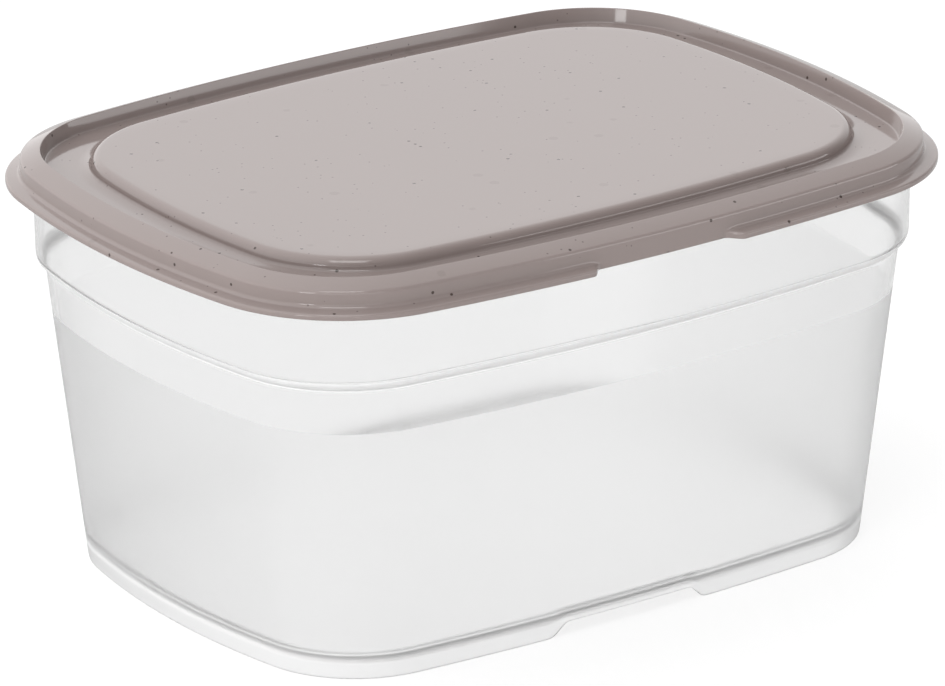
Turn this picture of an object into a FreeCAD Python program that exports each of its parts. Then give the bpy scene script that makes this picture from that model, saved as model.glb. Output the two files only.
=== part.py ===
import FreeCAD, Part
import math
import os

# Food storage container with a push-on lid, millimetres, +Z up.
# Origin: centre of the footprint, on the surface the container stands on.
# +X runs along the length. The long sides face -Y (front) and +Y (back).
# Every outline is a bowed rounded rectangle: eight tangent arcs, given by its
# half length, half width, the curvatures of its long and short sides and the
# radius of its corners.
# Profile corners rounder than SMALL_RADIUS are arcs, and finer ones are bevels.

SMALL_RADIUS = 0.95
# Cutting shapes stand this far proud of what they cut.
CLEARANCE = 1.0

# Lid: outer edge of its flange. Offsets d below are measured inwards from it.
LID_HALF_LENGTH = 125.0
LID_HALF_WIDTH = 94.7
LID_LONG_CURVATURE = 0.00143
LID_SHORT_CURVATURE = 0.00341
LID_CORNER_RADIUS = 47.0

# Lid: heights
FLANGE_BOTTOM_Z = 113.8
FLANGE_EDGE_TOP_Z = 115.5
WALL_FOOT_Z = 116.1
SHOULDER_Z = 120.7
RIDGE_TOP_Z = 123.0
MOAT_TOP_Z = 118.6
MOAT_THICKNESS = 1.2
RIM_SEAT_Z = 120.0

# Lid: offsets d of the ridge
WALL_FOOT_D = 4.1
SHOULDER_D = 4.2
RIDGE_EDGE_D = 10.1
RIDGE_FOOT_D = 11.1
CHANNEL_OUTER_BOTTOM_D = 5.6
CHANNEL_OUTER_TOP_D = 6.0
CHANNEL_INNER_D = 9.1
RIDGE_STUB_D = 14.0

# Lid: roundings of the ridge's section
FLANGE_LOWER_RADIUS = 0.4
FLANGE_UPPER_RADIUS = 0.7
WALL_FOOT_RADIUS = 1.2
SHOULDER_RADIUS = 1.2
RIDGE_EDGE_RADIUS = 0.25
RIDGE_FOOT_RADIUS = 0.6
CHANNEL_MOUTH_RADIUS = 0.3
CHANNEL_CORNER_RADIUS = 0.4

# Lid: raised panel in the middle, its own outline at the foot of its step
PANEL_HALF_LENGTH = 103.4
PANEL_HALF_WIDTH = 72.4
PANEL_LONG_CURVATURE = 0.00133
PANEL_SHORT_CURVATURE = 0.0035
PANEL_CORNER_RADIUS = 37.0
PANEL_TOP_Z = 122.7
PANEL_THICKNESS = 1.2
PANEL_STEP_RUN = 0.5
PANEL_EDGE_RADIUS = 2.9
PANEL_FOOT_RADIUS = 1.2
PANEL_STUB = 5.0
PANEL_TOP_STUB = 8.0

# Lid: the moat's floor sweeps up to the foot of the panel's step
SWEEP_RUN = 2.15
SWEEP_RISE = 0.7
SWEEP_RADIUS = 12.0

# Lid: finger gaps in the flange, one in the middle of each long side
GAP_HALF_LENGTH_AT_WALL = 21.7
GAP_HALF_LENGTH_AT_EDGE = 25.8
GAP_INNER_RADIUS = 1.2
GAP_OUTER_RADIUS = 1.6
GAP_TOP_Z = 117.9
GAP_SHOULDER_LENGTH = 8.0
GAP_SHOULDER_CLEARANCE = 0.05
GAP_BLOCK_REACH = 3.0

# Tub: outer outlines at the foot and under the step, and the upper band's offset d
FOOT_OUTLINE = (105.2, 75.0, 0.0012, 0.0041, 33.4)
WALL_TOP_OUTLINE = (114.6, 84.3, 0.00155, 0.0036, 37.4)
BAND_TOP_D = 7.7
BAND_BOTTOM_D = 8.1

# Tub: heights
STEP_Z = 89.6
FLOOR_UNDERSIDE_Z = 5.0
FLOOR_TOP_Z = 6.4
RIM_BEAD_Z = 118.3

# Tub: thickness and roundings
TUB_WALL = 1.2
FOOT_EDGE_RADIUS = 0.4
STEP_ROUND_RADIUS = 4.0
STEP_ROUND_ANGLE = 55.0
FLOOR_FILLET_RADIUS = 3.0
RECESS_FILLET_RADIUS = 0.8
RIM_BEAD_REACH = 1.4
RIM_EDGE_RADIUS = 0.5
ROUND_STEPS = 3

# Tub: drain notches through the foot skirt, in the middle of each long side
NOTCH_HEIGHT = 4.2
NOTCH_HALF_LENGTH_TOP = 22.0
NOTCH_HALF_LENGTH_BOTTOM = 26.2
NOTCH_TOP_RADIUS = 2.2
NOTCH_BOTTOM_RADIUS = 1.8
NOTCH_REACH = 8.0

VERTICAL = FreeCAD.Vector(0, 0, 1)


class Outline:
    """Bowed rounded rectangle made of eight tangent arcs."""

    def __init__(self, half_length, half_width, long_curvature, short_curvature, corner_radius):
        self.half_length = half_length
        self.half_width = half_width
        self.long_curvature = long_curvature
        self.short_curvature = short_curvature
        self.corner_radius = corner_radius

    def inset(self, distance):
        """Parallel outline, moved inwards by distance."""
        return Outline(
            self.half_length - distance,
            self.half_width - distance,
            self.long_curvature / (1 - self.long_curvature * distance),
            self.short_curvature / (1 - self.short_curvature * distance),
            self.corner_radius - distance,
        )

    def blend(self, other, share):
        """Outline part of the way from this one to another."""
        return Outline(
            self.half_length + share * (other.half_length - self.half_length),
            self.half_width + share * (other.half_width - self.half_width),
            self.long_curvature + share * (other.long_curvature - self.long_curvature),
            self.short_curvature + share * (other.short_curvature - self.short_curvature),
            self.corner_radius + share * (other.corner_radius - self.corner_radius),
        )

    def arcs(self):
        """The eight arcs, anticlockwise: (centre x, centre y, radius, start, end) in degrees."""
        long_radius = 1 / self.long_curvature
        short_radius = 1 / self.short_curvature
        corner = self.corner_radius
        long_centre = self.half_width - long_radius
        short_centre = self.half_length - short_radius
        # The corner's centre is at these distances from the centres of the two sides.
        to_long = long_radius - corner
        to_short = short_radius - corner
        apart = math.hypot(short_centre, long_centre)
        along = (to_short ** 2 - to_long ** 2 + apart ** 2) / (2 * apart)
        across = math.sqrt(to_short ** 2 - along ** 2)
        unit_x = -short_centre / apart
        unit_y = long_centre / apart
        corner_x = short_centre + along * unit_x - across * unit_y
        corner_y = along * unit_y + across * unit_x
        if corner_x < 0 or corner_y < 0:
            corner_x = short_centre + along * unit_x + across * unit_y
            corner_y = along * unit_y - across * unit_x
        side_end = math.degrees(math.atan2(corner_y, corner_x - short_centre))
        corner_end = math.degrees(math.atan2(corner_y - long_centre, corner_x))
        result = []
        for quarter in range(4):
            flip_x = -1 if quarter in (1, 2) else 1
            flip_y = -1 if quarter in (2, 3) else 1
            start, end = side_end, corner_end
            if flip_x < 0:
                start, end = 180 - end, 180 - start
            if flip_y < 0:
                start, end = -end, -start
            start, end = start % 360, end % 360
            result.append((flip_x * corner_x, flip_y * corner_y, corner, start, end))
            if quarter % 2 == 0:
                result.append((0.0, flip_y * long_centre, long_radius, end, end + 2 * (90 - corner_end)))
            else:
                result.append((flip_x * short_centre, 0.0, short_radius, end, end + 2 * side_end))
        return result

    def wire(self, height):
        edges = []
        for centre_x, centre_y, radius, start, end in self.arcs():
            points = []
            for angle in (start, (start + end) / 2, end):
                turn = math.radians(angle)
                x = centre_x + radius * math.cos(turn)
                y = centre_y + radius * math.sin(turn)
                points.append(FreeCAD.Vector(x, y, height))
            edges.append(points)
        for index, points in enumerate(edges):
            points[2] = edges[(index + 1) % len(edges)][0]
        return Part.Wire([Part.Arc(*points).toShape() for points in edges])


def rounded_wire(corners, to_point):
    """Closed wire through corners (u, v, radius), each corner rounded by an arc."""
    count = len(corners)
    starts = []
    mids = []
    ends = []
    for index in range(count):
        before = corners[index - 1]
        u, v, radius = corners[index]
        after = corners[(index + 1) % count]
        in_u, in_v = before[0] - u, before[1] - v
        out_u, out_v = after[0] - u, after[1] - v
        in_length = math.hypot(in_u, in_v)
        out_length = math.hypot(out_u, out_v)
        in_u, in_v = in_u / in_length, in_v / in_length
        out_u, out_v = out_u / out_length, out_v / out_length
        half = math.acos(max(-1.0, min(1.0, in_u * out_u + in_v * out_v))) / 2
        cut = radius / math.tan(half)
        starts.append((u + cut * in_u, v + cut * in_v))
        ends.append((u + cut * out_u, v + cut * out_v))
        middle_u, middle_v = in_u + out_u, in_v + out_v
        middle_length = math.hypot(middle_u, middle_v)
        reach = radius / math.sin(half) - radius
        mids.append((u + reach * middle_u / middle_length, v + reach * middle_v / middle_length))
    edges = []
    for index in range(count):
        trio = [to_point(*point) for point in (starts[index], mids[index], ends[index])]
        if corners[index][2] > SMALL_RADIUS:
            edges.append(Part.Arc(*trio).toShape())
        elif corners[index][2] > 0:
            edges.append(Part.makeLine(trio[0], trio[2]))
        following = starts[(index + 1) % count]
        edges.append(Part.makeLine(to_point(*ends[index]), to_point(*following)))
    return Part.Wire(edges)


def ring(outline, profile):
    """Solid with one section (inward offset, height, radius) all the way round an outline."""
    pieces = []
    for centre_x, centre_y, radius, start, end in outline.arcs():
        def place(offset, height):
            return FreeCAD.Vector(centre_x + radius - offset, centre_y, height)
        face = Part.Face(rounded_wire(profile, place))
        centre = FreeCAD.Vector(centre_x, centre_y, 0)
        face.rotate(centre, VERTICAL, start)
        pieces.append(face.revolve(centre, VERTICAL, end - start))
    return pieces[0].fuse(pieces[1:]).removeSplitter()


def plate(outline, bottom, top):
    """Flat plate that fills an outline."""
    face = Part.Face(outline.wire(bottom))
    return face.extrude(FreeCAD.Vector(0, 0, top - bottom))


def loft(levels):
    """Solid through a list of (outline, height)."""
    wires = [outline.wire(height) for outline, height in levels]
    return Part.makeLoft(wires, True, True)


def flange_edge():
    return Outline(
        LID_HALF_LENGTH,
        LID_HALF_WIDTH,
        LID_LONG_CURVATURE,
        LID_SHORT_CURVATURE,
        LID_CORNER_RADIUS,
    )


def ridge():
    """Flange, outer wall, sloping crown and inner wall of the lid, with a stub of the moat."""
    profile = [
        (0.0, FLANGE_BOTTOM_Z, FLANGE_LOWER_RADIUS),
        (0.0, FLANGE_EDGE_TOP_Z, FLANGE_UPPER_RADIUS),
        (WALL_FOOT_D, WALL_FOOT_Z, WALL_FOOT_RADIUS),
        (SHOULDER_D, SHOULDER_Z, SHOULDER_RADIUS),
        (RIDGE_EDGE_D, RIDGE_TOP_Z, RIDGE_EDGE_RADIUS),
        (RIDGE_FOOT_D, MOAT_TOP_Z, RIDGE_FOOT_RADIUS),
        (RIDGE_STUB_D, MOAT_TOP_Z, 0.0),
        (RIDGE_STUB_D, MOAT_TOP_Z - MOAT_THICKNESS, 0.0),
        (CHANNEL_INNER_D, MOAT_TOP_Z - MOAT_THICKNESS, CHANNEL_CORNER_RADIUS),
        (CHANNEL_INNER_D, RIM_SEAT_Z, 0.0),
        (CHANNEL_OUTER_TOP_D, RIM_SEAT_Z, 0.0),
        (CHANNEL_OUTER_BOTTOM_D, FLANGE_BOTTOM_Z, CHANNEL_MOUTH_RADIUS),
    ]
    return ring(flange_edge(), profile)


def panel_foot():
    return Outline(
        PANEL_HALF_LENGTH,
        PANEL_HALF_WIDTH,
        PANEL_LONG_CURVATURE,
        PANEL_SHORT_CURVATURE,
        PANEL_CORNER_RADIUS,
    )


def panel_step():
    """Rounded step of the raised panel, with stubs of the moat and of the panel's top."""
    inner_step = PANEL_STEP_RUN + PANEL_THICKNESS
    foot_z = MOAT_TOP_Z + SWEEP_RISE
    profile = [
        (-PANEL_STUB, MOAT_TOP_Z, 0.0),
        (-SWEEP_RUN, MOAT_TOP_Z, SWEEP_RADIUS),
        (0.0, foot_z, PANEL_FOOT_RADIUS),
        (PANEL_STEP_RUN, PANEL_TOP_Z, PANEL_EDGE_RADIUS),
        (PANEL_TOP_STUB, PANEL_TOP_Z, 0.0),
        (PANEL_TOP_STUB, PANEL_TOP_Z - PANEL_THICKNESS, 0.0),
        (inner_step, PANEL_TOP_Z - PANEL_THICKNESS, PANEL_EDGE_RADIUS - PANEL_THICKNESS),
        (PANEL_THICKNESS, foot_z - MOAT_THICKNESS, PANEL_FOOT_RADIUS),
        (-SWEEP_RUN, MOAT_TOP_Z - MOAT_THICKNESS, 0.0),
        (-PANEL_STUB, MOAT_TOP_Z - MOAT_THICKNESS, 0.0),
    ]
    return ring(panel_foot(), profile)


def moat():
    """Recessed floor between the ridge and the raised panel."""
    bottom = MOAT_TOP_Z - MOAT_THICKNESS
    whole = plate(flange_edge().inset(RIDGE_STUB_D), bottom, MOAT_TOP_Z)
    return whole.cut(plate(panel_foot().inset(-PANEL_STUB), bottom, MOAT_TOP_Z))


def long_edge_y(x):
    """How far out the flange's bowed long edge is at x."""
    return LID_HALF_WIDTH - 0.5 * LID_LONG_CURVATURE * x ** 2


def finger_gap(side):
    """Space cut out of the flange on the long side facing side * Y, down to the wall's plane."""
    slope = (SHOULDER_D - WALL_FOOT_D) / (SHOULDER_Z - WALL_FOOT_Z)
    bottom = FLANGE_BOTTOM_Z - CLEARANCE
    wall_at_bottom = WALL_FOOT_D - slope * (WALL_FOOT_Z - bottom)
    wall_at_top = WALL_FOOT_D + slope * (GAP_TOP_Z - WALL_FOOT_Z)
    profile = [
        (-CLEARANCE, bottom, 0.0),
        (wall_at_bottom, bottom, 0.0),
        (wall_at_top, GAP_TOP_Z, 0.0),
        (-CLEARANCE, GAP_TOP_Z, 0.0),
    ]
    band = ring(flange_edge(), profile)
    wall_y = LID_HALF_WIDTH - WALL_FOOT_D - CLEARANCE
    edge_y = long_edge_y(GAP_HALF_LENGTH_AT_EDGE)
    lean = (GAP_HALF_LENGTH_AT_EDGE - GAP_HALF_LENGTH_AT_WALL) / WALL_FOOT_D
    inner = GAP_HALF_LENGTH_AT_WALL - lean * CLEARANCE
    wide = GAP_HALF_LENGTH_AT_EDGE + GAP_SHOULDER_LENGTH
    wide_y = long_edge_y(wide) + GAP_SHOULDER_CLEARANCE
    outer_y = edge_y + GAP_BLOCK_REACH
    plan = [
        (-inner, wall_y, GAP_INNER_RADIUS),
        (inner, wall_y, GAP_INNER_RADIUS),
        (GAP_HALF_LENGTH_AT_EDGE, edge_y, GAP_OUTER_RADIUS),
        (wide, wide_y, 0.0),
        (wide, outer_y, 0.0),
        (-wide, outer_y, 0.0),
        (-wide, wide_y, 0.0),
        (-GAP_HALF_LENGTH_AT_EDGE, edge_y, GAP_OUTER_RADIUS),
    ]

    def place(x, y):
        return FreeCAD.Vector(x, side * y, bottom)

    block = Part.Face(rounded_wire(plan, place)).extrude(FreeCAD.Vector(0, 0, GAP_TOP_Z - bottom))
    return band.common(block)


def make_lid():
    top = plate(panel_foot().inset(PANEL_TOP_STUB), PANEL_TOP_Z - PANEL_THICKNESS, PANEL_TOP_Z)
    lid = ridge().fuse([moat(), panel_step(), top]).removeSplitter()
    for side in (-1, 1):
        lid = lid.cut(finger_gap(side))
    return lid


def wall_outline(height):
    """Tub's outer outline between its foot and the step."""
    return Outline(*FOOT_OUTLINE).blend(Outline(*WALL_TOP_OUTLINE), height / STEP_Z)


def round_levels(outline, height, radius, start, end, outwards):
    """Levels round a quarter-turn edge; angles in degrees, 0 points outwards and 90 up."""
    levels = []
    for step in range(ROUND_STEPS + 1):
        turn = math.radians(start + (end - start) * step / ROUND_STEPS)
        shift = outwards * radius * (1 - math.cos(turn))
        levels.append((outline.inset(shift), height + radius * math.sin(turn)))
    return levels


def step_levels(inset):
    """Outer side of the step and upper band, moved inwards by inset: wall top to band top."""
    band = flange_edge().inset(BAND_BOTTOM_D)
    round_radius = STEP_ROUND_RADIUS - inset
    turn = math.radians(STEP_ROUND_ANGLE)
    wall_top = Outline(*WALL_TOP_OUTLINE)
    run = band.half_width - wall_top.half_width - STEP_ROUND_RADIUS * (1 - math.cos(turn))
    rise = run / math.tan(turn)
    centre_z = STEP_Z + rise + STEP_ROUND_RADIUS * math.sin(turn)
    levels = [(wall_top.inset(inset), STEP_Z + inset * math.tan(turn / 2))]
    for step in range(ROUND_STEPS + 1):
        angle = turn * (1 - step / ROUND_STEPS)
        offset = inset + round_radius * (1 - math.cos(angle))
        levels.append((band.inset(offset), centre_z - round_radius * math.sin(angle)))
    return levels


def make_tub():
    foot = wall_outline(0)
    outer = round_levels(foot, FOOT_EDGE_RADIUS, FOOT_EDGE_RADIUS, -90, 0, 1)
    outer += step_levels(0.0)
    band_top = flange_edge().inset(BAND_TOP_D)
    outer.append((band_top, RIM_BEAD_Z - RIM_BEAD_REACH))
    bead = band_top.inset(-RIM_BEAD_REACH)
    outer.append((bead, RIM_BEAD_Z))
    outer += round_levels(bead, RIM_SEAT_Z - RIM_EDGE_RADIUS, RIM_EDGE_RADIUS, 0, 90, 1)

    floor_inner = wall_outline(FLOOR_TOP_Z + FLOOR_FILLET_RADIUS).inset(TUB_WALL)
    fillet_centre = FLOOR_TOP_Z + FLOOR_FILLET_RADIUS
    inner = round_levels(floor_inner, fillet_centre, FLOOR_FILLET_RADIUS, -90, 0, 1)
    inner += step_levels(TUB_WALL)
    inner.append((band_top.inset(TUB_WALL), RIM_SEAT_Z + CLEARANCE))

    recess_side_z = FLOOR_UNDERSIDE_Z - RECESS_FILLET_RADIUS
    recess_top = wall_outline(FLOOR_UNDERSIDE_Z).inset(TUB_WALL + RECESS_FILLET_RADIUS)
    recess = [
        (foot.inset(TUB_WALL), -CLEARANCE),
        (wall_outline(recess_side_z).inset(TUB_WALL), recess_side_z),
        (recess_top, FLOOR_UNDERSIDE_Z),
    ]
    tub = loft(outer).cut(loft(inner)).cut(loft(recess))
    return tub.cut(drain_notches())


def drain_notches():
    """One bar across the tub whose section is the notch, cutting both long sides."""
    lean = (NOTCH_HALF_LENGTH_BOTTOM - NOTCH_HALF_LENGTH_TOP) / NOTCH_HEIGHT
    top = NOTCH_HALF_LENGTH_TOP
    bottom = NOTCH_HALF_LENGTH_BOTTOM
    wide = bottom + NOTCH_REACH
    section = [
        (-top, NOTCH_HEIGHT, NOTCH_TOP_RADIUS),
        (top, NOTCH_HEIGHT, NOTCH_TOP_RADIUS),
        (bottom, 0.0, NOTCH_BOTTOM_RADIUS),
        (wide, 0.0, 0.0),
        (wide, -CLEARANCE, 0.0),
        (-wide, -CLEARANCE, 0.0),
        (-wide, 0.0, 0.0),
        (-bottom, 0.0, NOTCH_BOTTOM_RADIUS),
    ]
    reach = FOOT_OUTLINE[1] + NOTCH_REACH

    def place(x, z):
        return FreeCAD.Vector(x, -reach, z)

    return Part.Face(rounded_wire(section, place)).extrude(FreeCAD.Vector(0, 2 * reach, 0))


def main():
    os.makedirs("parts", exist_ok=True)
    for name, shape in (("tub", make_tub()), ("lid", make_lid())):
        shape.Solids[0].exportStep("parts/%s.step" % name)


main()
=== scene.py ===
import math

import bpy
import numpy as np
from mathutils import Matrix, Vector


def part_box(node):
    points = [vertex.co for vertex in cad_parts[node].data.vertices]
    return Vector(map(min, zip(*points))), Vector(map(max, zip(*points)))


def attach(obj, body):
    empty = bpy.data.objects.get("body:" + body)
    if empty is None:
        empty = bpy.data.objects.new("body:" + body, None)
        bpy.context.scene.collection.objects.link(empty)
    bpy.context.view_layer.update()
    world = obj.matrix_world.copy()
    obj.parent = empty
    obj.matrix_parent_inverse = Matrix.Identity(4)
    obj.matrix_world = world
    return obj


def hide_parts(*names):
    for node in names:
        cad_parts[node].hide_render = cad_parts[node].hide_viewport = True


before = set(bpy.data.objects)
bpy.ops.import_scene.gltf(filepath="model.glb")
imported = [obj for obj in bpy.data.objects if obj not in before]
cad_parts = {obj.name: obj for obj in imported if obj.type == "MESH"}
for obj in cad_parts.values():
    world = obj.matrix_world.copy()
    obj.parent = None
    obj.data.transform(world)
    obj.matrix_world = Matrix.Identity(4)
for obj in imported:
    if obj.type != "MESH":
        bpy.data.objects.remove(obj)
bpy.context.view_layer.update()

MM = 0.001
TINY = 1e-6

lid_low, lid_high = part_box("lid")
tub_low, tub_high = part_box("tub")

# Heights worked out from the frame, in millimetres above the foot
FLANGE_BOTTOM = lid_low.z / MM
RIM_TOP = tub_high.z / MM
MOAT_TOP = RIM_TOP - 1.4
SHOULDER_Z = RIM_TOP + 0.7
WALL_FOOT_Z = FLANGE_BOTTOM + 2.3
PANEL_TOP = RIM_TOP + 2.7
RIDGE_CORNER_Z = RIM_TOP + 3.0

# Outlines: half length, half width, long and short side curvature, corner radius (mm)
LID_OUTLINE = (lid_high.x / MM, 94.7, 0.00143, 0.00341, 47.0)
PANEL_OUTLINE = (103.4, 72.4, 0.00133, 0.0035, 37.0)
FOOT_OUTLINE = (105.2, 75.0, 0.0012, 0.0041, 33.4)
WALL_TOP_OUTLINE = (114.6, 84.3, 0.00155, 0.0036, 37.4)

# Ridge and flange of the lid: offsets inwards from the flange's edge, and roundings
WALL_FOOT_D = 4.1
SHOULDER_D = 4.2
RIDGE_EDGE_D = 10.1
RIDGE_FOOT_D = 11.1
CHANNEL_OUTER_BOTTOM_D = 5.6
CHANNEL_OUTER_TOP_D = 6.0
CHANNEL_INNER_D = 9.1
LID_THICKNESS = 1.2
FLANGE_EDGE_HEIGHT = 1.7
FLANGE_LOWER_ROUND = 0.4
FLANGE_UPPER_ROUND = 0.7
WALL_FOOT_ROUND = 1.2
SHOULDER_ROUND = 1.2
RIDGE_EDGE_ROUND = 0.25
RIDGE_FOOT_ROUND = 0.6
RIDGE_STUB = 2.0
CHANNEL_MOUTH_ROUND = 0.3
CHANNEL_CORNER_ROUND = 0.4

# Raised panel: how far its step runs in, and its roundings
PANEL_STEP_RUN = 0.5
PANEL_TOP_STUB = 3.0
PANEL_EDGE_RADIUS = 2.9
PANEL_FOOT_RADIUS = 1.2
SWEEP_RUN = 2.15
SWEEP_RISE = 0.7
SWEEP_RADIUS = 12.0
SWEEP_END = 5.0

# Finger gaps in the flange; stations beyond SHORT_SIDE_SHARE of the half length have none
GAP_AT_WALL = 21.7
GAP_AT_EDGE = 25.8
GAP_SOFTNESS = 0.3
GAP_TOP_ABOVE_FOOT = 1.6
SHORT_SIDE_SHARE = 0.7

# Rows and stations of the meshes: counts, strides, heights, and shares of the way between two rows
CORNER_STATIONS = 40
SHORT_SIDE_STATIONS = 30
LONG_SIDE_HALF = 80.0
LONG_SIDE_STRIDE = 2.0
FINE_STRIDE = 0.5
FINE_FROM = 16.9
FINE_TO = 31.0
PANEL_TOP_SHARES = (0.04, 0.2, 0.4, 0.6, 0.8)
PANEL_UNDER_SHARES = (0.6, 0.2, 0.04)
MOAT_SHARES = (0.25, 0.5, 0.75)
FLOOR_SHARES = (0.04, 0.35, 0.7, 0.97)
BAND_SHARES = (0.15, 0.35, 0.6, 0.85, 1.0)
RIM_SHARES = (0.3, 0.6, 0.9)
RECESS_ROWS = (3.0, 1.6)
SKIRT_ROWS = (1.5, 3.0, 5.0, 7.0)
PANEL_STEPS = 12
RIDGE_STEPS = 7
UNDERSIDE_STEPS = 6
TUB_STEP_STEPS = 8
FOOT_EDGE_STEPS = 4
RIM_EDGE_STEPS = 3
FLOOR_FILLET_STEPS = 6
WALL_ROWS = 24

# Tub: heights, offsets and roundings
TUB_WALL = 1.2
BAND_TOP_D = 7.7
BAND_BOTTOM_D = 8.1
STEP_Z = 89.6
STEP_RADIUS = 4.0
STEP_ANGLE = 55.0
FLOOR_UNDERSIDE = 5.0
FLOOR_TOP = 6.4
FLOOR_FILLET = 3.0
RIM_BEAD_Z = 118.3
RIM_BEAD_REACH = 1.4
RIM_EDGE_RADIUS = 0.5
INNER_EDGE_BEVEL = 0.3
FOOT_EDGE_RADIUS = 0.4
STEP_CREASE = 0.6
CREASE_UNDER = 0.54
CREASE_START = 0.06
CREASE_START_SHARE = 0.25
LEAST_RISE = 0.05
STEP_MARGIN = 1.5
RECESS_FILLET = 0.8
SKIRT_TOP = 9.0
SKIRT_SLACK = 0.9
RECESS_SLACK = 0.5
RECESS_LIFT_END = 0.3

# Drain notches in the skirt: half widths at the top and the foot
NOTCH_HEIGHT = 4.2
NOTCH_TOP = 22.0
NOTCH_BOTTOM = 26.2
NOTCH_SOFTNESS = 0.55
NOTCH_LEAST = 0.02
NOTCH_SIDE_DEPTH = 8.0

# Zones of the tub's finish: heights in millimetres, and how softly each one ends
FROST_LINE = 76.0
FROST_SOFTNESS = 0.15
# Band on the step: a satin finish, and also a painted highlight line along the ledge from its lighter
# grey and haze
STEP_SATIN_HIGHLIGHT = 90.7
STEP_SATIN_HIGHLIGHT_HALF = 1.7
STEP_SATIN_HIGHLIGHT_SOFTNESS = 0.2
CLOUDY_BELOW = 7.0
CLOUDY_SOFTNESS = 1.5
# Skirt zone: less hazy, and greyed with painted shade at the foot
SKIRT_BELOW = 4.6
SKIRT_SOFTNESS = 0.4

# Finish of the tub: roughness, clearness and grey of each zone, and how much less hazy the skirt is;
# the clear band's and the skirt's greys are painted shade
TUB_IOR = 1.49
OUTSIDE_POLISHED = 0.10
OUTSIDE_SATIN = 0.42
INSIDE_POLISHED = 0.08
INSIDE_SATIN = 0.14
CLEAR_CLEARNESS = 0.98
CLOUDY_CLEARNESS = 0.4
# Grey of the clear band: painted shade for the dim inside of the tub seen through it
CLEAR_BAND_SHADE_GREY = 0.88
SATIN_GREY = 0.995
CLOUDY_GREY = 0.98
# Grey of the skirt: painted shade at the foot of the tub
SKIRT_SHADE_GREY = 0.86
SKIRT_HAZE_CUT = 0.5

# Finish of the lid: two close tones, and specks as scale, size, chance, strength and colour
LID_IOR = 1.5
LID_ROUGHNESS = 0.08
LID_TONE_SCALE = 14.0
LID_TONE_DETAIL = 2.0
LID_TONES = ((0.262, 0.217, 0.206, 1), (0.276, 0.229, 0.217, 1))
SPECKS = (
    (360.0, 0.17, 0.055, 0.90, (0.034, 0.019, 0.014, 1)),
    (640.0, 0.18, 0.060, 0.55, (0.050, 0.030, 0.024, 1)),
    (170.0, 0.24, 0.045, 0.14, (0.100, 0.072, 0.062, 1)),
)
SPECK_RAGGED_SCALE = 6
SPECK_RAGGEDNESS = 0.6
SPECK_EDGE_OUTER = 1.45
SPECK_EDGE_INNER = 1.15

# Camera: angles in degrees, places in metres, lens and sensor in millimetres
CAMERA_AZIMUTH = -35.33
CAMERA_ELEVATION = 20.62
CAMERA_ROLL = -0.35
CAMERA_DISTANCE = 2.415
CAMERA_RIGHT = -0.00043
CAMERA_UP = -0.00213
CAMERA_TARGET_HEIGHT = 0.0625
CAMERA_LENS = 321.2
CAMERA_SENSOR = 36.0
CAMERA_CLIP_END = 50.0

# Dome: its bright direction, its strengths, and where it changes from dim to bright
DOME_BRIGHT_SIDE = (-0.45, 0.75, -0.05)
DOME_BRIGHT = 1.5
DOME_DIM = 0.15
DOME_DIM_UP_TO = -0.7
DOME_BRIGHT_FROM = 0.35

# Softboxes: name, azimuth, distance, height, (width, height) in metres, power
SOFTBOXES = (
    ("softbox_above", -130.0, 1.2, 2.2, (1.0, 1.0), 13.0),
    ("softbox_right", -42.7, 2.58, 0.5, (2.0, 0.9), 16.0),
    ("softbox_front", -120.0, 2.8, 0.35, (2.2, 0.8), 10.0),
    ("softbox_strip", -152.0, 2.8, 0.45, (0.5, 0.8), 9.0),
)
SOFTBOX_AIM = (0.0, 0.0, 0.1)

# How the floor and the dome show: 1 is white
SEEN_RAYS = ("Is Camera Ray", "Is Glossy Ray", "Is Transmission Ray")
SEEN_DIRECTLY = 1.0
SEEN_IN_GLOSS = 0.8
SEEN_THROUGH_TUB = 1.0
FLOOR_GLOW = 0.80
FLOOR_SHADED = 0.25
FLOOR_GREY = 0.85
FLOOR_HALF = 6.0

# Bounces of the light paths, enough for both walls of the tub
MAX_BOUNCES = 24
TRANSMISSION_BOUNCES = 24
GLOSSY_BOUNCES = 12
DIFFUSE_BOUNCES = 4


# ---------------------------------------------------------------- outlines

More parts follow.
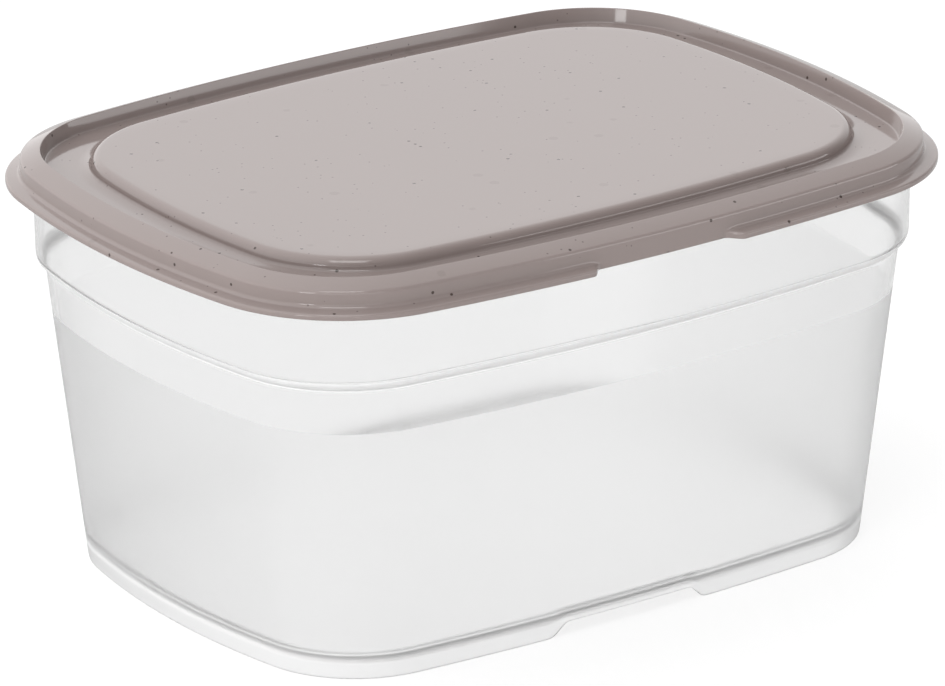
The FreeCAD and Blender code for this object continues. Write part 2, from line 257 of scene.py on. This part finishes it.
class Outline:
    """Bowed rounded rectangle of eight tangent arcs."""

    def __init__(self, half_length, half_width, long_k, short_k, corner):
        self.values = np.array([half_length, half_width, long_k, short_k, corner], float)

    def inset(self, d):
        a, b, long_k, short_k, corner = self.values
        return Outline(a - d, b - d, long_k / (1 - long_k * d), short_k / (1 - short_k * d), corner - d)

    def blend(self, other, share):
        return Outline(*(self.values + share * (other.values - self.values)))

    def scaled(self, share):
        a, b, long_k, short_k, corner = self.values
        return Outline(a * share, b * share, long_k / share, short_k / share, corner * share)

    def points(self, stations):
        """x and y at each (arc, share along it), anticlockwise from the first corner."""
        a, b, long_k, short_k, corner = self.values
        long_r, short_r = 1 / long_k, 1 / short_k
        long_c, short_c = b - long_r, a - short_r
        to_long, to_short = long_r - corner, short_r - corner
        apart = math.hypot(short_c, long_c)
        along = (to_short ** 2 - to_long ** 2 + apart ** 2) / (2 * apart)
        across = math.sqrt(to_short ** 2 - along ** 2)
        ux, uy = -short_c / apart, long_c / apart
        meets = [
            (short_c + along * ux + side * across * uy, along * uy - side * across * ux)
            for side in (-1, 1)
        ]
        corner_x, corner_y = max(meets, key=min)
        side_end = math.atan2(corner_y, corner_x - short_c)
        corner_end = math.atan2(corner_y - long_c, corner_x)
        out = []
        for arc, share in stations:
            quarter, side = divmod(arc, 2)
            flip_x = -1 if quarter in (1, 2) else 1
            flip_y = -1 if quarter in (2, 3) else 1
            if side == 0:
                t = share if quarter in (0, 2) else 1 - share
                angle = side_end + t * (corner_end - side_end)
                x = corner_x + corner * math.cos(angle)
                y = corner_y + corner * math.sin(angle)
                out.append((flip_x * x, flip_y * y))
            elif quarter in (0, 2):
                angle = math.pi / 2 + (share - 0.5) * 2 * (math.pi / 2 - corner_end)
                x = long_r * math.cos(angle)
                y = long_c + long_r * math.sin(angle)
                turn = 1 if quarter == 0 else -1
                out.append((turn * x, turn * y))
            else:
                angle = (share - 0.5) * 2 * side_end
                x = short_c + short_r * math.cos(angle)
                y = short_r * math.sin(angle)
                turn = -1 if quarter == 1 else 1
                out.append((turn * x, turn * y))
        return np.array(out)


def stations():
    """Where an outline is sampled: finely round corners and near the ends of gaps and notches."""
    long_side = []
    x = -LONG_SIDE_HALF
    while x < LONG_SIDE_HALF - TINY:
        long_side.append((x + LONG_SIDE_HALF) / (2 * LONG_SIDE_HALF))
        x += FINE_STRIDE if FINE_FROM < abs(x) < FINE_TO else LONG_SIDE_STRIDE
    short_side = [i / SHORT_SIDE_STATIONS for i in range(SHORT_SIDE_STATIONS)]
    corner = [i / CORNER_STATIONS for i in range(CORNER_STATIONS)]
    result = []
    for quarter in range(4):
        result += [(2 * quarter, share) for share in corner]
        side = short_side if quarter % 2 else long_side
        result += [(2 * quarter + 1, share) for share in side]
    return result


STATIONS = stations()
COUNT = len(STATIONS)


def round_profile(corners, steps):
    """Open polyline (u, v) through corners (u, v, radius), each corner rounded in steps."""
    out = []
    for i, (u, v, radius) in enumerate(corners):
        if radius <= 0 or i in (0, len(corners) - 1):
            out.append((u, v))
            continue
        p = np.array((u, v))
        before = np.array(corners[i - 1][:2]) - p
        after = np.array(corners[i + 1][:2]) - p
        before /= np.linalg.norm(before)
        after /= np.linalg.norm(after)
        half = math.acos(np.clip(before @ after, -1, 1)) / 2
        middle = (before + after) / np.linalg.norm(before + after)
        centre = p + middle * radius / math.sin(half)
        start = p + before * radius / math.tan(half)
        end = p + after * radius / math.tan(half)
        first = math.atan2(*(start - centre)[::-1])
        last = math.atan2(*(end - centre)[::-1])
        turn = (last - first + math.pi) % (2 * math.pi) - math.pi
        for k in range(steps + 1):
            angle = first + turn * k / steps
            out.append(tuple(centre + radius * np.array((math.cos(angle), math.sin(angle)))))
    return out


def grid_mesh(name, rows):
    """Closed-round grid of rows (each COUNT points, mm) as a mesh, with a fan at either end."""
    points = np.array(rows, float)
    verts = [tuple(p * MM) for p in points.reshape(-1, 3)]
    last_row = len(verts) - COUNT
    faces = []
    for this in range(0, last_row, COUNT):
        following = this + COUNT
        for c in range(COUNT):
            n = (c + 1) % COUNT
            faces.append((this + c, this + n, following + n, following + c))
    first_middle = len(verts)
    verts.append(tuple(points[0].mean(0) * MM))
    faces += [(first_middle, (c + 1) % COUNT, c) for c in range(COUNT)]
    last_middle = len(verts)
    verts.append(tuple(points[-1].mean(0) * MM))
    faces += [(last_middle, last_row + c, last_row + (c + 1) % COUNT) for c in range(COUNT)]
    mesh = bpy.data.meshes.new(name)
    mesh.from_pydata(verts, [], faces)
    mesh.validate()
    mesh.polygons.foreach_set("use_smooth", [True] * len(mesh.polygons))
    obj = bpy.data.objects.new(name, mesh)
    bpy.context.scene.collection.objects.link(obj)
    return obj


def row(outline, z):
    """One row of grid points at one height."""
    xy = outline.points(STATIONS)
    return np.column_stack([xy, np.full(COUNT, z)])


def smoothstep(x, low, high):
    """0 below low and 1 above high, with a smooth change between them."""
    t = np.clip((x - low) / (high - low), 0, 1)
    return t * t * (3 - 2 * t)


# ---------------------------------------------------------------- lid

def lid_rows():
    """Rows of the lid from its panel's middle, over the ridge, round the flange and back under."""
    edge = Outline(*LID_OUTLINE)
    panel = Outline(*PANEL_OUTLINE)
    rows = []
    top_start = PANEL_STEP_RUN + PANEL_EDGE_RADIUS + PANEL_TOP_STUB
    for share in PANEL_TOP_SHARES:
        rows.append(row(panel.inset(top_start).scaled(share), PANEL_TOP))
    step = round_profile([
        (top_start, PANEL_TOP, 0),
        (PANEL_STEP_RUN, PANEL_TOP, PANEL_EDGE_RADIUS),
        (0.0, MOAT_TOP + SWEEP_RISE, PANEL_FOOT_RADIUS),
        (-SWEEP_RUN, MOAT_TOP, SWEEP_RADIUS),
        (-SWEEP_END, MOAT_TOP, 0),
    ], PANEL_STEPS)
    rows += [row(panel.inset(d), z) for d, z in step]
    moat_outer = edge.inset(RIDGE_FOOT_D + RIDGE_STUB)
    moat_inner = panel.inset(-SWEEP_END)
    for share in MOAT_SHARES:
        rows.append(row(moat_inner.blend(moat_outer, share), MOAT_TOP))
    outside = round_profile([
        (RIDGE_FOOT_D + RIDGE_STUB, MOAT_TOP, 0),
        (RIDGE_FOOT_D, MOAT_TOP, RIDGE_FOOT_ROUND),
        (RIDGE_EDGE_D, RIDGE_CORNER_Z, RIDGE_EDGE_ROUND),
        (SHOULDER_D, SHOULDER_Z, SHOULDER_ROUND),
        (WALL_FOOT_D, WALL_FOOT_Z, WALL_FOOT_ROUND),
        (0.0, FLANGE_BOTTOM + FLANGE_EDGE_HEIGHT, FLANGE_UPPER_ROUND),
        (0.0, FLANGE_BOTTOM, FLANGE_LOWER_ROUND),
        (CHANNEL_OUTER_BOTTOM_D, FLANGE_BOTTOM, CHANNEL_MOUTH_ROUND),
        (CHANNEL_OUTER_TOP_D, RIM_TOP, 0),
        (CHANNEL_INNER_D, RIM_TOP, 0),
        (CHANNEL_INNER_D, MOAT_TOP - LID_THICKNESS, CHANNEL_CORNER_ROUND),
        (RIDGE_FOOT_D + RIDGE_STUB, MOAT_TOP - LID_THICKNESS, 0),
    ], RIDGE_STEPS)
    rows += [gap_row(edge, d, z) for d, z in outside]
    rows.append(row(moat_inner.blend(moat_outer, 0.5), MOAT_TOP - LID_THICKNESS))
    under_start = PANEL_STEP_RUN + LID_THICKNESS + PANEL_EDGE_RADIUS
    under_radius = PANEL_EDGE_RADIUS - LID_THICKNESS
    under = round_profile([
        (-SWEEP_END, MOAT_TOP - LID_THICKNESS, 0),
        (-SWEEP_RUN, MOAT_TOP - LID_THICKNESS, 0),
        (LID_THICKNESS, MOAT_TOP + SWEEP_RISE - LID_THICKNESS, PANEL_FOOT_RADIUS),
        (PANEL_STEP_RUN + LID_THICKNESS, PANEL_TOP - LID_THICKNESS, under_radius),
        (under_start, PANEL_TOP - LID_THICKNESS, 0),
    ], UNDERSIDE_STEPS)
    rows += [row(panel.inset(d), z) for d, z in under]
    for share in PANEL_UNDER_SHARES:
        rows.append(row(panel.inset(under_start).scaled(share), PANEL_TOP - LID_THICKNESS))
    return rows


def gap_row(edge, d, z):
    """A row of the ridge's section, drawn in to the wall's plane across a finger gap."""
    flat = edge.points(STATIONS)
    slope = (SHOULDER_D - WALL_FOOT_D) / (SHOULDER_Z - WALL_FOOT_Z)
    wall_d = WALL_FOOT_D + slope * (z - WALL_FOOT_Z)
    keep = smoothstep(np.abs(flat[:, 0]), GAP_AT_WALL - GAP_SOFTNESS, GAP_AT_EDGE + GAP_SOFTNESS)
    short_side = np.abs(flat[:, 0]) > edge.values[0] * SHORT_SIDE_SHARE
    keep = np.where(short_side, 1.0, keep)
    upper = FLANGE_BOTTOM + FLANGE_EDGE_HEIGHT - FLANGE_UPPER_ROUND
    outside_wall = d < wall_d and z < WALL_FOOT_Z + GAP_TOP_ABOVE_FOOT
    if outside_wall and z > upper:
        offsets = wall_d - (wall_d - d) * keep
    elif outside_wall and d <= FLANGE_LOWER_ROUND + TINY:
        offsets = d + (1 - keep) * wall_d
    else:
        offsets = np.full(COUNT, d)
    inwards = (edge.inset(WALL_FOOT_D).points(STATIONS) - flat) / WALL_FOOT_D
    xy = flat + inwards * offsets[:, None]
    return np.column_stack([xy, np.full(COUNT, z)])


def make_lid(material):
    lid = grid_mesh("lid_shell", lid_rows())
    finish_piece(lid, material, "lid")


# ---------------------------------------------------------------- tub

def wall_outline(z):
    """Outside of the tapering wall at a height."""
    return Outline(*FOOT_OUTLINE).blend(Outline(*WALL_TOP_OUTLINE), z / STEP_Z)


def step_profile(inset):
    """Levels (outline, z) of the step and band, from the wall's top upwards."""
    band = Outline(*LID_OUTLINE).inset(BAND_BOTTOM_D)
    wall_top = Outline(*WALL_TOP_OUTLINE)
    turn = math.radians(STEP_ANGLE)
    run = band.values[1] - wall_top.values[1] - STEP_RADIUS * (1 - math.cos(turn))
    rise = run / math.tan(turn)
    centre_z = STEP_Z + rise + STEP_RADIUS * math.sin(turn)
    foot_z = STEP_Z + inset * math.tan(turn / 2)
    under_z = foot_z - CREASE_UNDER
    levels = [(wall_outline(under_z).inset(inset), under_z)]
    top = band.inset(inset + (STEP_RADIUS - inset) * (1 - math.cos(turn)))
    top_z = centre_z - (STEP_RADIUS - inset) * math.sin(turn)
    low = wall_top.inset(inset)
    share = min(1.0, STEP_CREASE / max(LEAST_RISE, top_z - foot_z))
    levels.append((low.blend(top, CREASE_START_SHARE * share), foot_z - CREASE_START))
    levels.append((low.blend(top, share), foot_z + STEP_CREASE * share))
    for k in range(TUB_STEP_STEPS + 1):
        angle = turn * (1 - k / TUB_STEP_STEPS)
        offset = inset + (STEP_RADIUS - inset) * (1 - math.cos(angle))
        levels.append((band.inset(offset), centre_z - (STEP_RADIUS - inset) * math.sin(angle)))
    return levels


def quarter_round(outline, centre_z, radius, start, end, steps):
    """Levels of a rounded edge, from angle start to end; 0 degrees points outwards and 90 up."""
    out = []
    for k in range(steps + 1):
        turn = math.radians(start + (end - start) * k / steps)
        edge = outline.inset(radius * (1 - math.cos(turn)))
        out.append((edge, centre_z + radius * math.sin(turn)))
    return out


def tub_levels():
    """Levels from the floor's underside, round the skirt, up outside, over the rim and down inside."""
    foot = wall_outline(0)
    recess = wall_outline(FLOOR_UNDERSIDE).inset(TUB_WALL + RECESS_FILLET)
    recess_side = FLOOR_UNDERSIDE - RECESS_FILLET
    levels = [(recess.scaled(s), FLOOR_UNDERSIDE) for s in FLOOR_SHARES]
    levels += [(recess, FLOOR_UNDERSIDE)]
    levels += [(wall_outline(recess_side).inset(TUB_WALL), recess_side)]
    levels += [(wall_outline(z).inset(TUB_WALL), z) for z in RECESS_ROWS]
    inner_foot = foot.inset(TUB_WALL - INNER_EDGE_BEVEL)
    levels += [(foot.inset(TUB_WALL), INNER_EDGE_BEVEL), (inner_foot, 0.0)]
    levels += quarter_round(foot, FOOT_EDGE_RADIUS, FOOT_EDGE_RADIUS, -90, 0, FOOT_EDGE_STEPS)
    outer_walls = np.linspace(SKIRT_TOP, STEP_Z - STEP_MARGIN, WALL_ROWS)
    levels += [(wall_outline(z), z) for z in (*SKIRT_ROWS, *outer_walls)]
    levels += step_profile(0.0)
    band_top = Outline(*LID_OUTLINE).inset(BAND_TOP_D)
    band_bottom = Outline(*LID_OUTLINE).inset(BAND_BOTTOM_D)
    bottom_z = levels[-1][1]
    bead_low = RIM_BEAD_Z - RIM_BEAD_REACH
    for s in BAND_SHARES:
        levels.append((band_bottom.blend(band_top, s), bottom_z + s * (bead_low - bottom_z)))
    bead = band_top.inset(-RIM_BEAD_REACH)
    levels.append((bead, RIM_BEAD_Z))
    bead_edge_z = RIM_TOP - RIM_EDGE_RADIUS
    levels += quarter_round(bead, bead_edge_z, RIM_EDGE_RADIUS, 0, 90, RIM_EDGE_STEPS)
    rim_inner = band_top.inset(TUB_WALL)
    rim_inner_z = RIM_TOP - INNER_EDGE_BEVEL
    levels += [(rim_inner.inset(-INNER_EDGE_BEVEL), RIM_TOP), (rim_inner, rim_inner_z)]
    inner_step = step_profile(TUB_WALL)[::-1]
    step_outline, step_z = inner_step[0]
    for s in RIM_SHARES:
        levels.append((rim_inner.blend(step_outline, s), rim_inner_z + s * (step_z - rim_inner_z)))
    levels += inner_step
    fillet_z = FLOOR_TOP + FLOOR_FILLET
    inner_walls = np.linspace(STEP_Z - STEP_MARGIN, fillet_z, WALL_ROWS)
    levels += [(wall_outline(z).inset(TUB_WALL), z) for z in inner_walls[:-1]]
    floor_wall = wall_outline(fillet_z).inset(TUB_WALL)
    levels += quarter_round(floor_wall, fillet_z, FLOOR_FILLET, 0, -90, FLOOR_FILLET_STEPS)
    floor_edge = levels[-1][0]
    levels += [(floor_edge.scaled(s), FLOOR_TOP) for s in reversed(FLOOR_SHARES)]
    return levels


def notch_height(x):
    """Height of the drain notch above the foot, at each x: a trapezium with softened corners."""
    slope = NOTCH_HEIGHT / (NOTCH_BOTTOM - NOTCH_TOP)
    raw = (NOTCH_BOTTOM - np.abs(x)) * slope
    drop = NOTCH_SOFTNESS * np.logaddexp(0, (NOTCH_HEIGHT - raw) / NOTCH_SOFTNESS)
    return NOTCH_SOFTNESS * np.logaddexp(0, (NOTCH_HEIGHT - drop) / NOTCH_SOFTNESS)


def tub_rows():
    """Rows of the tub, with the skirt's rows lifted over the drain notches."""
    taper = (WALL_TOP_OUTLINE[1] - FOOT_OUTLINE[1]) / STEP_Z
    rows = []
    for outline, z in tub_levels():
        xy = outline.points(STATIONS)
        heights = np.full(COUNT, float(z))
        outer = outline.values[0] > FOOT_OUTLINE[0] - SKIRT_SLACK
        if z < FLOOR_UNDERSIDE - RECESS_SLACK or (z < SKIRT_TOP and outer):
            long_side = np.abs(xy[:, 1]) > FOOT_OUTLINE[1] - NOTCH_SIDE_DEPTH
            lift = np.where(long_side, notch_height(xy[:, 0]), 0.0)
            lift[lift < NOTCH_LEAST] = 0
            top = SKIRT_TOP if outer else FLOOR_UNDERSIDE - RECESS_LIFT_END
            heights = z + lift * np.clip(1 - z / top, 0, 1)
            outwards = np.column_stack([np.zeros(COUNT), np.sign(xy[:, 1])])
            xy = xy + outwards * ((heights - z) * taper)[:, None]
        rows.append(np.column_stack([xy, heights]))
    return rows


def make_tub(outside, inside):
    """The tub, with its outside and its inside and underside as two material slots of one mesh."""
    rows = tub_rows()
    tub = grid_mesh("tub_shell", rows)
    finish_piece(tub, outside, "tub")
    tub.data.materials.append(inside)
    rim_row = max(range(len(rows)), key=lambda index: rows[index][:, 2].max())
    foot_row = min(range(rim_row), key=lambda index: rows[index][:, 2].min())
    for index, polygon in enumerate(tub.data.polygons):
        outer = foot_row <= index // COUNT < rim_row
        polygon.material_index = int(not outer)


def finish_piece(piece, material, node):
    piece.data.materials.append(material)
    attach(piece, "root")
    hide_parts(node)


# ---------------------------------------------------------------- materials

def new_material(name):
    material = bpy.data.materials.new(name)
    material.use_nodes = True
    tree = material.node_tree
    return material, tree.nodes, tree.links, tree.nodes["Principled BSDF"]


def grey(level):
    return (level, level, level, 1)


def math_node(nodes, links, operation, *values):
    """Output of a maths node whose inputs are plain numbers or outputs of other nodes."""
    node = nodes.new("ShaderNodeMath")
    node.operation = operation
    for socket, value in zip(node.inputs, values):
        if isinstance(value, float):
            socket.default_value = value
        else:
            links.new(value, socket)
    return node.outputs[0]


def tinted(nodes, links, amount, low, high):
    """Mix of two colours by amount; the first may be the output of another mix."""
    mix = nodes.new("ShaderNodeMix")
    mix.data_type = "RGBA"
    links.new(amount, mix.inputs["Factor"])
    if isinstance(low, tuple):
        mix.inputs["A"].default_value = low
    else:
        links.new(low, mix.inputs["A"])
    mix.inputs["B"].default_value = high
    return mix.outputs["Result"]


def ranged(nodes, links, amount, low, high):
    """A value that is low where amount is 0 and high where it is 1."""
    result = nodes.new("ShaderNodeMapRange")
    result.inputs["To Min"].default_value = low
    result.inputs["To Max"].default_value = high
    links.new(amount, result.inputs["Value"])
    return result.outputs["Result"]


def below(nodes, links, height, softness):
    """1 below a height in millimetres and 0 above it, changing over twice the softness."""
    coords = nodes.new("ShaderNodeTexCoord")
    place = nodes.new("ShaderNodeSeparateXYZ")
    links.new(coords.outputs["Object"], place.inputs["Vector"])
    amount = nodes.new("ShaderNodeMapRange")
    amount.inputs["From Min"].default_value = (height + softness) * MM
    amount.inputs["From Max"].default_value = (height - softness) * MM
    links.new(place.outputs["Z"], amount.inputs["Value"])
    return amount.outputs["Result"]


def lid_material():
    """Glossy taupe plastic with sparse dark specks of several sizes."""
    material, nodes, links, shader = new_material("lid_speckled_plastic")
    coords = nodes.new("ShaderNodeTexCoord")
    shader.inputs["Roughness"].default_value = LID_ROUGHNESS
    shader.inputs["IOR"].default_value = LID_IOR
    tone = nodes.new("ShaderNodeTexNoise")
    tone.inputs["Scale"].default_value = LID_TONE_SCALE
    tone.inputs["Detail"].default_value = LID_TONE_DETAIL
    links.new(coords.outputs["Object"], tone.inputs["Vector"])
    colour = tinted(nodes, links, tone.outputs["Fac"], *LID_TONES)
    for kind in SPECKS:
        colour = specks(nodes, links, coords, colour, *kind)
    links.new(colour, shader.inputs["Base Color"])
    return material


def specks(nodes, links, coords, colour, scale, limit, chance, strength, shade):
    """Adds one size of speck: dots in the few cells of a cell pattern that pass a random test."""
    cells = nodes.new("ShaderNodeTexVoronoi")
    cells.inputs["Scale"].default_value = scale
    links.new(coords.outputs["Object"], cells.inputs["Vector"])
    ragged = nodes.new("ShaderNodeTexNoise")
    ragged.inputs["Scale"].default_value = scale * SPECK_RAGGED_SCALE
    links.new(coords.outputs["Object"], ragged.inputs["Vector"])
    uneven, distance = ragged.outputs["Fac"], cells.outputs["Distance"]
    edge = math_node(nodes, links, "MULTIPLY_ADD", uneven, limit * SPECK_RAGGEDNESS, distance)
    dot = nodes.new("ShaderNodeMapRange")
    dot.inputs["From Min"].default_value = limit * SPECK_EDGE_OUTER
    dot.inputs["From Max"].default_value = limit * SPECK_EDGE_INNER
    links.new(edge, dot.inputs["Value"])
    pick = nodes.new("ShaderNodeSeparateColor")
    links.new(cells.outputs["Color"], pick.inputs["Color"])
    chosen = math_node(nodes, links, "LESS_THAN", pick.outputs["Red"], chance)
    both = math_node(nodes, links, "MULTIPLY", dot.outputs["Result"], chosen)
    amount = math_node(nodes, links, "MULTIPLY", both, strength)
    return tinted(nodes, links, amount, colour, shade)


def inside_material():
    """Inner face and underside of the tub: polished above the frost line, rougher below it."""
    material, nodes, links, shader = new_material("tub_inside")
    shader.inputs["Base Color"].default_value = grey(SATIN_GREY)
    shader.inputs["IOR"].default_value = TUB_IOR
    frost = below(nodes, links, FROST_LINE, FROST_SOFTNESS)
    roughness = ranged(nodes, links, frost, INSIDE_POLISHED, INSIDE_SATIN)
    links.new(roughness, shader.inputs["Roughness"])
    shader.inputs["Transmission Weight"].default_value = 1.0
    return material


def tub_material():
    """Outside of the tub: frosted below the frost line and on the step, cloudy at the foot; its greys
    paint shade on the clear band and the skirt, and the step band's lighter grey and haze paint a
    highlight line.
    """
    material, nodes, links, shader = new_material("tub_polypropylene")
    shader.inputs["IOR"].default_value = TUB_IOR
    frost = below(nodes, links, FROST_LINE, FROST_SOFTNESS)
    cloud = below(nodes, links, CLOUDY_BELOW, CLOUDY_SOFTNESS)
    # skirt: zone at the foot that is less hazy and greyed with painted shade
    skirt = below(nodes, links, SKIRT_BELOW, SKIRT_SOFTNESS)
    # Step band: satin roughness, plus a lighter grey and haze that paint a highlight line along the
    # ledge
    satin_highlight_bottom = below(nodes, links, STEP_SATIN_HIGHLIGHT - STEP_SATIN_HIGHLIGHT_HALF, STEP_SATIN_HIGHLIGHT_SOFTNESS)
    satin_highlight_top = below(nodes, links, STEP_SATIN_HIGHLIGHT + STEP_SATIN_HIGHLIGHT_HALF, STEP_SATIN_HIGHLIGHT_SOFTNESS)
    step = math_node(nodes, links, "SUBTRACT", satin_highlight_top, satin_highlight_bottom)
    frost_and_highlight_band = math_node(nodes, links, "MAXIMUM", frost, step)
    roughness = ranged(nodes, links, frost_and_highlight_band, OUTSIDE_POLISHED, OUTSIDE_SATIN)
    links.new(roughness, shader.inputs["Roughness"])
    # The step band is made hazy too, for its painted highlight line
    hazy = math_node(nodes, links, "MAXIMUM", cloud, step)
    haze = math_node(nodes, links, "MULTIPLY_ADD", skirt, -SKIRT_HAZE_CUT, hazy)
    clearness = ranged(nodes, links, haze, CLEAR_CLEARNESS, CLOUDY_CLEARNESS)
    links.new(clearness, shader.inputs["Transmission Weight"])
    # Painted shade: the clear band is greyed, while the frosted zone and the step band stay near white,
    # the step band's white being a painted highlight line
    colour = tinted(nodes, links, frost_and_highlight_band, grey(CLEAR_BAND_SHADE_GREY), grey(SATIN_GREY))
    colour = tinted(nodes, links, cloud, colour, grey(CLOUDY_GREY))
    # Painted shade: the skirt is greyed at the foot
    colour = tinted(nodes, links, skirt, colour, grey(SKIRT_SHADE_GREY))
    links.new(colour, shader.inputs["Base Color"])
    return material


# ---------------------------------------------------------------- stage

def stage_floor_material():
    """Matte pale floor: near white with a faint shadow where seen directly, plain elsewhere."""
    material, nodes, links, shader = new_material("floor_white")
    shader.inputs["Base Color"].default_value = grey(FLOOR_GREY)
    shader.inputs["Roughness"].default_value = 1.0
    shader.inputs["Specular IOR Level"].default_value = 0.0
    path = nodes.new("ShaderNodeLightPath")
    shaded = nodes.new("ShaderNodeBsdfDiffuse")
    shaded.inputs["Color"].default_value = grey(FLOOR_SHADED)
    glow = nodes.new("ShaderNodeEmission")
    glow.inputs["Strength"].default_value = FLOOR_GLOW
    both = nodes.new("ShaderNodeAddShader")
    links.new(shaded.outputs[0], both.inputs[0])
    links.new(glow.outputs[0], both.inputs[1])
    surface = shader.outputs[0]
    plain = []
    for strength in (SEEN_IN_GLOSS, SEEN_THROUGH_TUB):
        emission = nodes.new("ShaderNodeEmission")
        emission.inputs["Strength"].default_value = strength
        plain.append(emission.outputs[0])
    for ray, seen in zip(SEEN_RAYS, (both.outputs[0], *plain)):
        mix = nodes.new("ShaderNodeMixShader")
        links.new(path.outputs[ray], mix.inputs[0])
        links.new(surface, mix.inputs[1])
        links.new(seen, mix.inputs[2])
        surface = mix.outputs[0]
    links.new(surface, nodes["Material Output"].inputs["Surface"])
    return material


def make_floor():
    mesh = bpy.data.meshes.new("floor")
    corners = [(x * FLOOR_HALF, y * FLOOR_HALF, 0) for x, y in ((-1, -1), (1, -1), (1, 1), (-1, 1))]
    mesh.from_pydata(corners, [], [(0, 1, 2, 3)])
    floor = bpy.data.objects.new("floor", mesh)
    bpy.context.scene.collection.objects.link(floor)
    floor.data.materials.append(stage_floor_material())


def make_world():
    """Soft studio dome, brightest behind and to the left, and plain white where it is seen."""
    world = bpy.data.worlds.new("studio")
    world.use_nodes = True
    nodes, links = world.node_tree.nodes, world.node_tree.links
    background = nodes["Background"]
    background.inputs["Color"].default_value = grey(1)
    coords = nodes.new("ShaderNodeTexCoord")
    lean = nodes.new("ShaderNodeVectorMath")
    lean.operation = "DOT_PRODUCT"
    links.new(coords.outputs["Generated"], lean.inputs[0])
    lean.inputs[1].default_value = Vector(DOME_BRIGHT_SIDE).normalized()
    ramp = nodes.new("ShaderNodeMapRange")
    ramp.interpolation_type = "SMOOTHSTEP"
    links.new(lean.outputs["Value"], ramp.inputs["Value"])
    ramp.inputs["From Min"].default_value = DOME_DIM_UP_TO
    ramp.inputs["From Max"].default_value = DOME_BRIGHT_FROM
    ramp.inputs["To Min"].default_value = DOME_DIM
    ramp.inputs["To Max"].default_value = DOME_BRIGHT
    path = nodes.new("ShaderNodeLightPath")
    strength = ramp.outputs["Result"]
    seen = (("Is Camera Ray", SEEN_DIRECTLY), ("Is Transmission Ray", SEEN_THROUGH_TUB))
    for ray, level in seen:
        mix = nodes.new("ShaderNodeMix")
        links.new(path.outputs[ray], mix.inputs["Factor"])
        links.new(strength, mix.inputs["A"])
        mix.inputs["B"].default_value = level
        strength = mix.outputs["Result"]
    links.new(strength, background.inputs["Strength"])
    bpy.context.scene.world = world


def softbox(name, azimuth, distance, height, size, power):
    """Rectangular light that faces the object and isn't seen through the tub; azimuth in degrees."""
    light = bpy.data.lights.new(name, "AREA")
    light.shape = "RECTANGLE"
    light.size, light.size_y = size
    light.energy = power
    obj = bpy.data.objects.new(name, light)
    turn = math.radians(azimuth)
    place = Vector((distance * math.cos(turn), distance * math.sin(turn), height))
    obj.location = place
    obj.rotation_euler = (Vector(SOFTBOX_AIM) - place).to_track_quat("-Z", "Y").to_euler()
    obj.visible_transmission = False
    bpy.context.scene.collection.objects.link(obj)


def make_camera():
    """Camera fitted to the photograph."""
    azimuth, elevation = math.radians(CAMERA_AZIMUTH), math.radians(CAMERA_ELEVATION)
    back = Vector((
        math.sin(azimuth) * math.cos(elevation),
        -math.cos(azimuth) * math.cos(elevation),
        math.sin(elevation),
    ))
    right = Vector((math.cos(azimuth), math.sin(azimuth), 0))
    up = back.cross(right)
    roll = math.radians(CAMERA_ROLL)
    camera = bpy.data.cameras.new("camera")
    camera.lens = CAMERA_LENS
    camera.sensor_width = CAMERA_SENSOR
    camera.clip_end = CAMERA_CLIP_END
    obj = bpy.data.objects.new("camera", camera)
    side = math.cos(roll) * right + math.sin(roll) * up
    top = -math.sin(roll) * right + math.cos(roll) * up
    target = Vector((0, 0, CAMERA_TARGET_HEIGHT))
    obj.location = target + back * CAMERA_DISTANCE + side * CAMERA_RIGHT + top * CAMERA_UP
    rotation = [[side[i], top[i], back[i]] for i in range(3)]
    obj.rotation_euler = Matrix(rotation).to_euler()
    bpy.context.scene.collection.objects.link(obj)
    bpy.context.scene.camera = obj


make_lid(lid_material())
make_tub(tub_material(), inside_material())
make_floor()
make_world()
for softbox_values in SOFTBOXES:
    softbox(*softbox_values)
make_camera()
bpy.context.scene.view_settings.view_transform = "Standard"
bpy.context.scene.cycles.max_bounces = MAX_BOUNCES
bpy.context.scene.cycles.transmission_bounces = TRANSMISSION_BOUNCES
bpy.context.scene.cycles.glossy_bounces = GLOSSY_BOUNCES
bpy.context.scene.cycles.diffuse_bounces = DIFFUSE_BOUNCES
